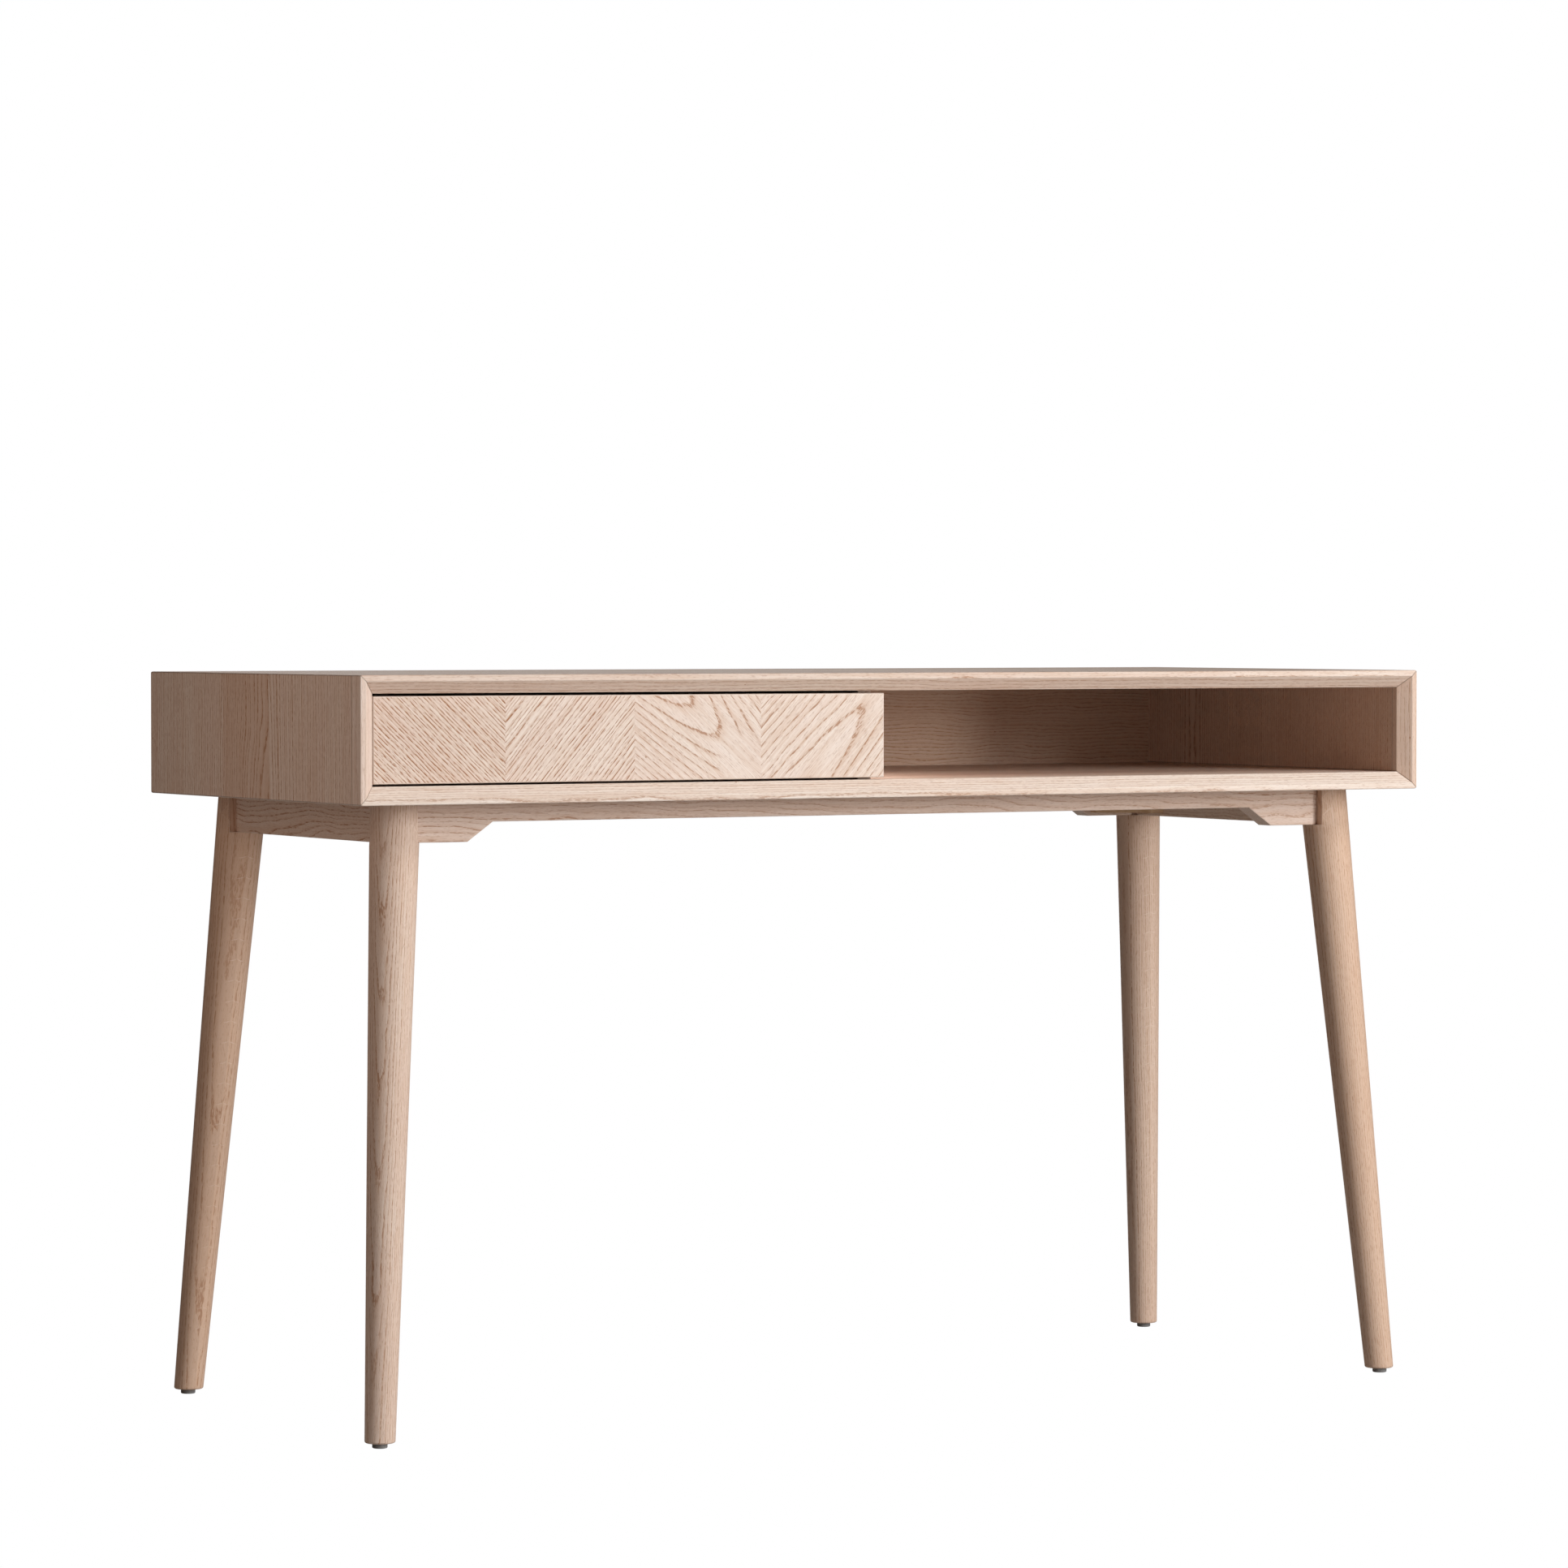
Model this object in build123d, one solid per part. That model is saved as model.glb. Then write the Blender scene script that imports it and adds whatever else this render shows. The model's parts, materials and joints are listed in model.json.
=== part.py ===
from build123d import *
import os
from math import copysign, sqrt

# A writing desk. A slim case with mitred corners holds one drawer on the left and an open bay on
# the right. Four splayed, tapered legs and four aprons carry it.
# The origin is on the floor at the middle of the footprint. +X is to the right and +Y to the back
# as seen by someone sitting at the desk, and +Z is up. All lengths are in millimetres.

# ---- overall size
WIDTH = 1240
DEPTH = 510
HEIGHT = 750
CASE_HEIGHT = 126

# ---- case
BOARD = 18
BACK_BOARD = 12
DIVIDER_BOARD = 15
DIVIDER_RIGHT = -35
LIPPING_DEPTH = 20
FRONT_BAND = 6
CORNER_RADIUS = 2
EASED_EDGE = 1.2
SPLINE_WIDTH = 12
SPLINE_THICKNESS = 4
SPLINE_INSET = 11.5
SPLINE_STOP = 10

# ---- drawer front, with its gaps to the case around it
FRONT_BOARD = 18
FRONT_GAP_LEFT = 0.8
FRONT_GAP_BOTTOM = 2
FRONT_GAP_TOP = 2.6
FRONT_OVERHANG = 5
FRONT_CLOSED_GAP = 1
FRONT_EDGE_RADIUS = 1.6
LEAF_COUNT = 4
LEAF_THICKNESS = 0.8

# ---- drawer box
DRAWER_BOARD = 12
DRAWER_LENGTH = 410
DRAWER_CLEARANCE_BELOW = 12
DRAWER_SIDE_HEIGHT = 62
DRAWER_BACK_DROP = 6
DRAWER_BOTTOM_BOARD = 6
DRAWER_BOTTOM_RAISE = 10
DRAWER_GROOVE = 5
DRAWER_EDGE = 1.5

# ---- drawer slides: web face, flange tip and half height of each member's channel section, with
# the web face and the tip measured from the wall that carries the slide
SLIDE_LENGTH = 400
SLIDE_SETBACK = 2
SLIDE_THICKNESS = 12.7
SLIDE_RISE = 30
RAIL_METAL = 1.2
RAIL_SECTIONS = {"outer": (0, 9, 17.5), "middle": (3.4, 10.4, 14.8), "inner": (SLIDE_THICKNESS, 7.5, 11)}
RAIL_SCREW_INSETS = (40, 200, 360)

# ---- legs: insets of the leg's axis from the case's sides and front, on the floor and at the ledge
FOOT_INSET_X = 30
FOOT_INSET_Y = 23
LEDGE_INSET_X = 69
LEDGE_INSET_Y = 70
FOOT_RADIUS = 15
LEDGE_RADIUS = 24.5
FOOT_EDGE = 2
GLIDE_HEIGHT = 5
GLIDE_RADIUS = 7.5
GLIDE_STEM_RADIUS = 1.5
GLIDE_STEM_LENGTH = 15

# ---- aprons: insets of the outer faces from the case's front and sides
APRON_DEPTH = 39
APRON_BOARD = 24
FRONT_APRON_INSET = 62
SIDE_APRON_INSET = 58
NOTCH_INSET = FRONT_APRON_INSET + APRON_BOARD
ARCH_RISE = 19.5
ARCH_FOOT = 475
ARCH_SHOULDER = 447
APRON_END_RADIUS = 3
APRON_EASED_EDGE = 1

# ---- corner blocks, and the bolts, dowels and screws of the frame
BLOCK_HEIGHT = 35
BLOCK_REACH = 142
BLOCK_SUM = 240
BLOCK_RELIEF_X = 14
BLOCK_RELIEF_Y = 10
BOLT_RADIUS = 3
BOLT_IN_LEG = 28
BOLT_THREAD_PROUD = 3
WASHER_RADIUS = 9
WASHER_THICKNESS = 1.6
NUT_ACROSS_FLATS = 10
NUT_HEIGHT = 5
DOWEL_RADIUS = 4
DOWEL_LENGTH = 30
DOWEL_HEIGHTS = {"front": 9, "side": 30}
BLOCK_SCREW_PLACE = 132
BLOCK_SCREW_GRIP = 12
FRAME_SCREW_PLACES = ((110, 97), (97, 110))
FRAME_SCREW_SINK = 10
COUNTERBORE_RADIUS = 5.2

# ---- screws: shank radius, head radius, head height and length
SCREWS = {
    "rail": (1.5, 3.0, 1.0, 9),
    "front": (2.0, 4.0, 2.2, 24),
    "block": (2.0, 4.0, 2.4, 28),
    "frame": (2.25, 4.5, 2.8, 37),
}
HOLE_CLEARANCE = 0.05
POINT_LENGTH_RATIO = 1.5
RECESS_WIDTH_RATIO = 0.28
RECESS_LENGTH_RATIO = 1.1
RECESS_DEPTH_RATIO = 0.6

# ---- places that follow from the sizes above
LEFT, RIGHT = -WIDTH / 2, WIDTH / 2
FRONT, BACK = -DEPTH / 2, DEPTH / 2
CASE_BOTTOM = HEIGHT - CASE_HEIGHT
CASE_MIDDLE = CASE_BOTTOM + CASE_HEIGHT / 2
INSIDE_LEFT, INSIDE_RIGHT = LEFT + BOARD, RIGHT - BOARD
INSIDE_BOTTOM, INSIDE_TOP = CASE_BOTTOM + BOARD, HEIGHT - BOARD
INSIDE_BACK = BACK - BACK_BOARD
PANEL_FRONT = FRONT + LIPPING_DEPTH
BEVEL = BOARD - FRONT_BAND
FACE_Y = FRONT + BEVEL
FACE_BACK = FACE_Y + FRONT_BOARD
DIVIDER_LEFT = DIVIDER_RIGHT - DIVIDER_BOARD
FRONT_LEFT = INSIDE_LEFT + FRONT_GAP_LEFT
FRONT_RIGHT = DIVIDER_RIGHT + FRONT_OVERHANG
FRONT_BOTTOM = INSIDE_BOTTOM + FRONT_GAP_BOTTOM
FRONT_TOP = INSIDE_TOP - FRONT_GAP_TOP
DRAWER_LEFT, DRAWER_RIGHT = INSIDE_LEFT + SLIDE_THICKNESS, DIVIDER_LEFT - SLIDE_THICKNESS
DRAWER_BACK = FACE_BACK + DRAWER_LENGTH
DRAWER_LOW = INSIDE_BOTTOM + DRAWER_CLEARANCE_BELOW
DRAWER_HIGH = DRAWER_LOW + DRAWER_SIDE_HEIGHT
BOTTOM_LOW = DRAWER_LOW + DRAWER_BOTTOM_RAISE
BOTTOM_HIGH = BOTTOM_LOW + DRAWER_BOTTOM_BOARD
SLIDE_HEIGHT = DRAWER_LOW + SLIDE_RISE
SLIDE_FRONT = FACE_BACK + SLIDE_SETBACK
LEDGE_Z = CASE_BOTTOM - APRON_DEPTH
BLOCK_BOTTOM = CASE_BOTTOM - BLOCK_HEIGHT
BLOCK_MIDDLE = (LEDGE_Z + CASE_BOTTOM) / 2

CASE_SIDES = {
    "bottom": ((-1, -1), (1, -1)),
    "right": ((1, -1), (1, 1)),
    "top": ((1, 1), (-1, 1)),
    "left": ((-1, 1), (-1, -1)),
}
LEG_CORNERS = {
    "front_left": (),
    "front_right": (Plane.YZ,),
    "back_left": (Plane.XZ,),
    "back_right": (Plane.YZ, Plane.XZ),
}
STANDING = (Align.CENTER, Align.CENTER, Align.MIN)
HANGING = (Align.CENTER, Align.CENTER, Align.MAX)


# ---- helpers

def span_box(x, y, z):
    """A box between two limits along each axis."""
    corner = Pos(min(x), min(y), min(z))
    return corner * Box(abs(x[1] - x[0]), abs(y[1] - y[0]), abs(z[1] - z[0]), align=(Align.MIN,) * 3)


def span_rectangle(x, z):
    """A rectangle between two limits along each axis of a section."""
    middle = Pos((x[0] + x[1]) / 2, (z[0] + z[1]) / 2)
    return middle * Rectangle(abs(x[1] - x[0]), abs(z[1] - z[0]))


def along_y(section, front, back):
    """A section drawn in X and Z, extruded from front to back."""
    return extrude(Plane.XZ.offset(-back) * section, amount=back - front, dir=(0, -1, 0))


def along_z(outline, low, high):
    """An outline drawn in X and Y, extruded from low to high."""
    return extrude(Pos(0, 0, low) * outline, amount=high - low, dir=(0, 0, 1))


def at_corner(shape, corner):
    """A shape made for the front left corner, mirrored to another corner of the desk."""
    for plane in LEG_CORNERS[corner]:
        shape = mirror(shape, about=plane)
    return shape


def at_all_corners(shape):
    """One copy of a front left shape at each corner."""
    return [at_corner(shape, corner) for corner in LEG_CORNERS]


def from_corner(inset_x, inset_y, z=0):
    """A point near the front left corner, by its insets from the case's side and front."""
    return (LEFT + inset_x, FRONT + inset_y, z)


def seat(point, outwards):
    """The place of a fastener whose head sits at a point and looks outwards."""
    return Plane(origin=point, z_dir=outwards).location


def screw(kind):
    """A screw with its head's seat at the origin and its shank along -Z."""
    radius, head_radius, head_height, length = SCREWS[kind]
    point_length = radius * POINT_LENGTH_RATIO
    shank = Cylinder(radius, length - point_length, align=HANGING)
    point = Pos(0, 0, -length) * Cone(0, radius, point_length, align=STANDING)
    head = Cylinder(head_radius, head_height, align=STANDING)
    slot = (head_radius * RECESS_LENGTH_RATIO, head_radius * RECESS_WIDTH_RATIO)
    recess = Rectangle(*slot) + Rectangle(*reversed(slot))
    recess_floor = head_height * (1 - RECESS_DEPTH_RATIO)
    return shank + point + head - along_z(recess, recess_floor, head_height)


def screw_hole(kind):
    """The hole that a screw's shank needs, from its seat down to its point."""
    radius, _, _, length = SCREWS[kind]
    return Cylinder(radius + HOLE_CLEARANCE, length, align=HANGING)


def drilled(shape, kind, seats):
    """A shape with the holes for a set of screws."""
    for place in seats:
        shape -= place * screw_hole(kind)
    return shape


def save(name, *shapes):
    """One STEP file for one node, with each of its solids apart."""
    solids = [solid for shape in shapes for solid in shape.solids()]
    export_step(solids[0] if len(solids) == 1 else Compound(children=solids), f"parts/{name}.step")


# ---- the case: two horizontal and two vertical boards, mitred at the corners

def case_corner(corner, inset=0):
    """A corner of the case's outline in X and Z, moved inwards along its diagonal."""
    return (corner[0] * (WIDTH / 2 - inset), CASE_MIDDLE + corner[1] * (CASE_HEIGHT / 2 - inset))


def case_outline():
    """The case's outer outline in X and Z."""
    return Pos(0, CASE_MIDDLE) * RectangleRounded(WIDTH, CASE_HEIGHT, CORNER_RADIUS)


def case_inside():
    """The case's inner outline in X and Z."""
    return span_rectangle((INSIDE_LEFT, INSIDE_RIGHT), (INSIDE_BOTTOM, INSIDE_TOP))


def mitred_side(ring, side):
    """The length of a ring that belongs to one side, cut at 45 degrees in the corners."""
    start, end = CASE_SIDES[side]
    reach = 2 * BOARD
    points = [case_corner(start), case_corner(end), case_corner(end, reach), case_corner(start, reach)]
    wedge = Polygon(*points, align=None)
    return ring & along_y(wedge, FRONT, BACK)


def panel_ring():
    """The four boards of the case as one ring, eased around its back edge."""
    ring = along_y(case_outline() - case_inside(), PANEL_FRONT, BACK)
    return fillet(ring.faces().sort_by(Axis.Y)[-1].outer_wire().edges(), EASED_EDGE)


def lipping_ring():
    """The solid front edge as one ring: a flat outer band, then a bevel down to the inside."""
    facing_back = Plane(origin=(0, FRONT, CASE_MIDDLE), x_dir=(1, 0, 0), z_dir=(0, 1, 0))
    mouth = facing_back * Rectangle(WIDTH - 2 * FRONT_BAND, CASE_HEIGHT - 2 * FRONT_BAND)
    funnel = extrude(mouth, amount=BEVEL, taper=45)
    inside = along_y(case_inside(), FRONT, PANEL_FRONT)
    ring = along_y(case_outline(), FRONT, PANEL_FRONT) - funnel - inside
    return fillet(ring.faces().sort_by(Axis.Y)[0].outer_wire().edges(), EASED_EDGE)


def mitre_spline(corner):
    """A plywood strip across a mitre, set square to it near the inside of the corner."""
    tilt = -45 * corner[0] * corner[1]
    strip = Rectangle(SPLINE_WIDTH, SPLINE_THICKNESS, rotation=tilt)
    return along_y(Pos(*case_corner(corner, SPLINE_INSET)) * strip, PANEL_FRONT, BACK - SPLINE_STOP)


def rail_screw_seats(member):
    """Seats of the screws through one member of both slides, left slide first."""
    web, tip, _ = RAIL_SECTIONS[member]
    inner_face = web + copysign(RAIL_METAL, tip - web)
    facing = copysign(1, tip - web)
    seats = []
    for wall, inwards in ((INSIDE_LEFT, 1), (DIVIDER_LEFT, -1)):
        for inset in RAIL_SCREW_INSETS:
            point = (wall + inwards * inner_face, SLIDE_FRONT + inset, SLIDE_HEIGHT)
            seats.append(seat(point, (inwards * facing, 0, 0)))
    return seats


def frame_screw_seats():
    """Seats of the upright screws that hold the case down on the front left corner block."""
    low = BLOCK_BOTTOM + FRAME_SCREW_SINK
    return [seat(from_corner(x, y, low), (0, 0, -1)) for x, y in FRAME_SCREW_PLACES]


def build_case():
    """The case's boards, front lippings, splines, back and divider."""
    boards, lippings = panel_ring(), lipping_ring()
    splines = [mitre_spline(start) for start, _ in CASE_SIDES.values()]
    for spline in splines:
        boards -= spline
    for side in CASE_SIDES:
        board = mitred_side(boards, side)
        if side == "left":
            board = drilled(board, "rail", rail_screw_seats("outer"))
        if side == "bottom":
            for hole in [place * screw_hole("frame") for place in frame_screw_seats()]:
                for copy in at_all_corners(hole):
                    board -= copy
        save(f"{side}_panel", board)
        save(f"{side}_front_lipping", mitred_side(lippings, side))
    save("mitre_splines", *splines)
    height = (INSIDE_BOTTOM, INSIDE_TOP)
    save("back_panel", span_box((INSIDE_LEFT, INSIDE_RIGHT), (INSIDE_BACK, BACK), height))
    divider_depth = (FACE_BACK + FRONT_CLOSED_GAP, INSIDE_BACK)
    divider = span_box((DIVIDER_LEFT, DIVIDER_RIGHT), divider_depth, height)
    save("divider_panel", drilled(divider, "rail", rail_screw_seats("outer")))


# ---- the drawer: a veneered front screwed to a box that hangs on two slides

def front_screw_seats():
    """Seats of the screws that hold the drawer front, on the inside of the box."""
    y = FACE_BACK + DRAWER_BOARD
    step = (DRAWER_RIGHT - DRAWER_LEFT) / LEAF_COUNT
    places = [DRAWER_LEFT + step * (index + 0.5) for index in range(LEAF_COUNT)]
    return [seat((x, y, SLIDE_HEIGHT + DRAWER_BOARD), (0, 1, 0)) for x in places]


def build_drawer_front():
    """The drawer front: a core, and four veneer leaves side by side on its face."""
    height = (FRONT_BOTTOM, FRONT_TOP)
    whole = span_box((FRONT_LEFT, FRONT_RIGHT), (FACE_Y, FACE_BACK), height)
    whole = fillet(whole.faces().sort_by(Axis.Y)[0].edges(), FRONT_EDGE_RADIUS)
    glue_line = FACE_Y + LEAF_THICKNESS
    core = whole - span_box((LEFT, RIGHT), (FRONT, glue_line), (0, HEIGHT))
    save("drawer_front", drilled(core, "front", front_screw_seats()))
    leaf_width = (FRONT_RIGHT - FRONT_LEFT) / LEAF_COUNT
    for index in range(LEAF_COUNT):
        start = FRONT_LEFT + index * leaf_width
        leaf = whole & span_box((start, start + leaf_width), (FACE_Y, glue_line), height)
        save(f"drawer_front_leaf_{index + 1}", leaf)


def drawer_side(x_outer, x_inner):
    """A side of the drawer box, eased along its top edges."""
    side = span_box((x_outer, x_inner), (FACE_BACK, DRAWER_BACK), (DRAWER_LOW, DRAWER_HIGH))
    long_top_edges = side.edges().filter_by(Axis.Y).group_by(Axis.Z)[-1]
    return fillet(long_top_edges, DRAWER_EDGE)


def build_drawer_box():
    """The drawer box: two sides, a sub-front and a back between them, and a bottom in grooves."""
    inner_left, inner_right = DRAWER_LEFT + DRAWER_BOARD, DRAWER_RIGHT - DRAWER_BOARD
    between_sides = (inner_left, inner_right)
    bottom = span_box(
        (inner_left - DRAWER_GROOVE, inner_right + DRAWER_GROOVE),
        (FACE_BACK + DRAWER_BOARD - DRAWER_GROOVE, DRAWER_BACK),
        (BOTTOM_LOW, BOTTOM_HIGH),
    )
    save("drawer_bottom", bottom)
    screws = rail_screw_seats("inner")
    save("drawer_left_side", drilled(drawer_side(DRAWER_LEFT, inner_left) - bottom, "rail", screws))
    save("drawer_right_side", drilled(drawer_side(DRAWER_RIGHT, inner_right) - bottom, "rail", screws))
    sub_front_depth = (FACE_BACK, FACE_BACK + DRAWER_BOARD)
    sub_front = span_box(between_sides, sub_front_depth, (DRAWER_LOW, DRAWER_HIGH))
    save("drawer_sub_front", drilled(sub_front - bottom, "front", front_screw_seats()))
    back_depth = (DRAWER_BACK - DRAWER_BOARD, DRAWER_BACK)
    save("drawer_back", span_box(between_sides, back_depth, (BOTTOM_HIGH, DRAWER_HIGH - DRAWER_BACK_DROP)))
    save("drawer_front_screws", *[place * screw("front") for place in front_screw_seats()])


def rail(member):
    """One channel-shaped member of a slide, with its wall at x = 0 and its middle at z = 0."""
    web, tip, half_height = RAIL_SECTIONS[member]
    metal = copysign(RAIL_METAL, tip - web)
    hollow = half_height - RAIL_METAL
    section = span_rectangle((web, tip), (-half_height, half_height))
    section -= span_rectangle((web + metal, tip), (-hollow, hollow))
    return along_y(section, SLIDE_FRONT, SLIDE_FRONT + SLIDE_LENGTH)


def build_slides():
    """Two slides of three nested members each, and the screws through the outer and inner ones."""
    for member in RAIL_SECTIONS:
        left = Pos(INSIDE_LEFT, 0, SLIDE_HEIGHT) * rail(member)
        right = Pos(DIVIDER_LEFT, 0, SLIDE_HEIGHT) * mirror(rail(member), about=Plane.YZ)
        if member != "middle":
            left = drilled(left, "rail", rail_screw_seats(member))
            right = drilled(right, "rail", rail_screw_seats(member))
        save(f"left_slide_{member}_rail", left)
        save(f"right_slide_{member}_rail", right)
    save("slide_case_screws", *[place * screw("rail") for place in rail_screw_seats("outer")])
    save("slide_drawer_screws", *[place * screw("rail") for place in rail_screw_seats("inner")])


# ---- the legs, made for the front left corner

def bolt_seat():
    """The middle of a corner block's slanted face, looking away from the leg."""
    return seat(from_corner(BLOCK_SUM / 2, BLOCK_SUM / 2, BLOCK_MIDDLE), (1, 1, 0))


def bolt_length_to_leg():
    """The length of a leg bolt from the corner block's slanted face to its end in the leg."""
    return (BLOCK_SUM / 2 - NOTCH_INSET) * sqrt(2) + BOLT_IN_LEG


def bolt_bore():
    """The bore that a leg bolt needs, from the corner block's slanted face into the leg."""
    length = bolt_length_to_leg()
    return bolt_seat() * Cylinder(BOLT_RADIUS + HOLE_CLEARANCE, length, align=HANGING)


def dowel(direction):
    """A dowel across the joint between the front left leg and the front or the side apron."""
    z = LEDGE_Z + DOWEL_HEIGHTS[direction]
    if direction == "front":
        place = seat(from_corner(NOTCH_INSET, FRONT_APRON_INSET + APRON_BOARD / 2, z), (1, 0, 0))
    else:
        place = seat(from_corner(SIDE_APRON_INSET + APRON_BOARD / 2, NOTCH_INSET, z), (0, 1, 0))
    return place * Cylinder(DOWEL_RADIUS, DOWEL_LENGTH)


def glide_stem(clearance=0):
    """The nail of a glide, or the hole for it in the foot."""
    foot = from_corner(FOOT_INSET_X, FOOT_INSET_Y, GLIDE_HEIGHT)
    radius = GLIDE_STEM_RADIUS + clearance
    return Pos(*foot) * Cylinder(radius, GLIDE_STEM_LENGTH, align=STANDING)


def leg():
    """A round, tapered and splayed leg, notched at the top for the ends of two aprons."""
    lean_x, lean_y = LEDGE_INSET_X - FOOT_INSET_X, LEDGE_INSET_Y - FOOT_INSET_Y
    axis = Vector(lean_x, lean_y, LEDGE_Z)
    taper = (LEDGE_RADIUS - FOOT_RADIUS) / axis.length
    spare = 2 * LEDGE_RADIUS
    length = axis.length + APRON_DEPTH + 2 * spare
    start = Vector(*from_corner(FOOT_INSET_X, FOOT_INSET_Y)) - axis.normalized() * spare
    bottom_radius = FOOT_RADIUS - taper * spare
    cone = Cone(bottom_radius, bottom_radius + taper * length, length, align=STANDING)
    standing = Plane(origin=start, z_dir=axis).location * cone
    shape = standing & span_box((LEFT, 0), (FRONT, 0), (GLIDE_HEIGHT, CASE_BOTTOM))
    shape = fillet(shape.edges().group_by(Axis.Z)[0], FOOT_EDGE)
    shape -= span_box((LEFT + NOTCH_INSET, 0), (FRONT, 0), (LEDGE_Z, CASE_BOTTOM))
    shape -= span_box((LEFT, 0), (FRONT + NOTCH_INSET, 0), (LEDGE_Z, CASE_BOTTOM))
    return shape - bolt_bore() - dowel("front") - dowel("side") - glide_stem(HOLE_CLEARANCE)


def glide():
    """A round plastic glide under the foot, with its nail."""
    foot = from_corner(FOOT_INSET_X, FOOT_INSET_Y)
    disc = Pos(*foot) * Cylinder(GLIDE_RADIUS, GLIDE_HEIGHT, align=STANDING)
    disc = fillet(disc.edges().group_by(Axis.Z)[0], EASED_EDGE)
    return disc + glide_stem()


# ---- the aprons and corner blocks

def block_screw(direction):
    """Seat point and outward direction of the corner block's screw into one of its two aprons."""
    if direction == "front":
        return from_corner(BLOCK_SCREW_PLACE, NOTCH_INSET + BLOCK_SCREW_GRIP, BLOCK_MIDDLE), (0, 1, 0)
    inner_face = SIDE_APRON_INSET + APRON_BOARD
    return from_corner(inner_face + BLOCK_SCREW_GRIP, BLOCK_SCREW_PLACE, BLOCK_MIDDLE), (1, 0, 0)


def bored_both_ends(board, direction, middle_plane):
    """An apron with the bores for its dowels, screws and leg bolts at both ends."""
    bores = [dowel(direction), seat(*block_screw(direction)) * screw_hole("block"), bolt_bore()]
    for bore in bores:
        board = board - bore - mirror(bore, about=middle_plane)
    return board


def front_apron():
    """The front apron: a long board with a shallow arch between its deeper ends."""
    arch_top = LEDGE_Z + ARCH_RISE
    end = -LEFT - NOTCH_INSET
    half = [(end, CASE_BOTTOM), (end, LEDGE_Z), (ARCH_FOOT, LEDGE_Z), (ARCH_SHOULDER, arch_top)]
    outline = Polygon(*half, *[(-x, z) for x, z in reversed(half)], align=None)
    y = FRONT + FRONT_APRON_INSET
    board = along_y(outline, y, y + APRON_BOARD)
    end_edges = board.edges().filter_by(Axis.Y).filter_by(lambda edge: abs(abs(edge.center().X) - end) < 1)
    board = fillet(end_edges.group_by(Axis.Z)[0], APRON_END_RADIUS)
    arch_edges = board.faces().sort_by(Axis.Y)[0].edges() + board.faces().sort_by(Axis.Y)[-1].edges()
    below = arch_edges.filter_by(lambda edge: edge.center().Z < arch_top + 1)
    board = fillet(below, APRON_EASED_EDGE)
    return bored_both_ends(board, "front", Plane.YZ)


def side_apron():
    """The left side apron: a plain straight board."""
    x = LEFT + SIDE_APRON_INSET
    end = -FRONT - NOTCH_INSET
    board = span_box((x, x + APRON_BOARD), (-end, end), (LEDGE_Z, CASE_BOTTOM))
    low_end_edges = board.edges().filter_by(Axis.X).group_by(Axis.Z)[0]
    board = fillet(low_end_edges, APRON_END_RADIUS)
    below = board.faces().sort_by(Axis.X)[0].edges() + board.faces().sort_by(Axis.X)[-1].edges()
    below = below.filter_by(lambda edge: edge.center().Z < LEDGE_Z + APRON_END_RADIUS)
    board = fillet(below, APRON_EASED_EDGE)
    return bored_both_ends(board, "side", Plane.XZ)


def corner_block():
    """The block inside the front left corner, which takes the leg's bolt on its slanted face."""
    inner_x, inner_y = SIDE_APRON_INSET + APRON_BOARD, NOTCH_INSET
    far = BLOCK_SUM - BLOCK_REACH
    insets = [
        (inner_x, inner_y + BLOCK_RELIEF_Y), (inner_x, BLOCK_REACH), (far, BLOCK_REACH),
        (BLOCK_REACH, far), (BLOCK_REACH, inner_y), (inner_x + BLOCK_RELIEF_X, inner_y),
    ]
    outline = Polygon(*[from_corner(x, y)[:2] for x, y in insets], align=None)
    shape = along_z(outline, BLOCK_BOTTOM, CASE_BOTTOM)
    counterbore = Cylinder(COUNTERBORE_RADIUS, BLOCK_REACH, align=STANDING)
    shape -= bolt_bore()
    side_seats = [seat(*block_screw(direction)) for direction in ("front", "side")]
    for place in side_seats + frame_screw_seats():
        shape -= place * counterbore
    shape = drilled(shape, "block", side_seats)
    return drilled(shape, "frame", frame_screw_seats())


def leg_bolt():
    """The threaded rod that ties the front left leg to its corner block."""
    proud = WASHER_THICKNESS + NUT_HEIGHT + BOLT_THREAD_PROUD
    length = bolt_length_to_leg() + proud
    return bolt_seat() * Pos(0, 0, proud) * Cylinder(BOLT_RADIUS, length, align=HANGING)


def bolt_washer():
    """The washer on the corner block's slanted face."""
    ring = Circle(WASHER_RADIUS) - Circle(BOLT_RADIUS + HOLE_CLEARANCE)
    return bolt_seat() * along_z(ring, 0, WASHER_THICKNESS)


def bolt_nut():
    """The hexagon nut on the washer."""
    hexagon = RegularPolygon(NUT_ACROSS_FLATS / 2, 6, major_radius=False)
    section = hexagon - Circle(BOLT_RADIUS + HOLE_CLEARANCE)
    return bolt_seat() * along_z(section, WASHER_THICKNESS, WASHER_THICKNESS + NUT_HEIGHT)


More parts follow.
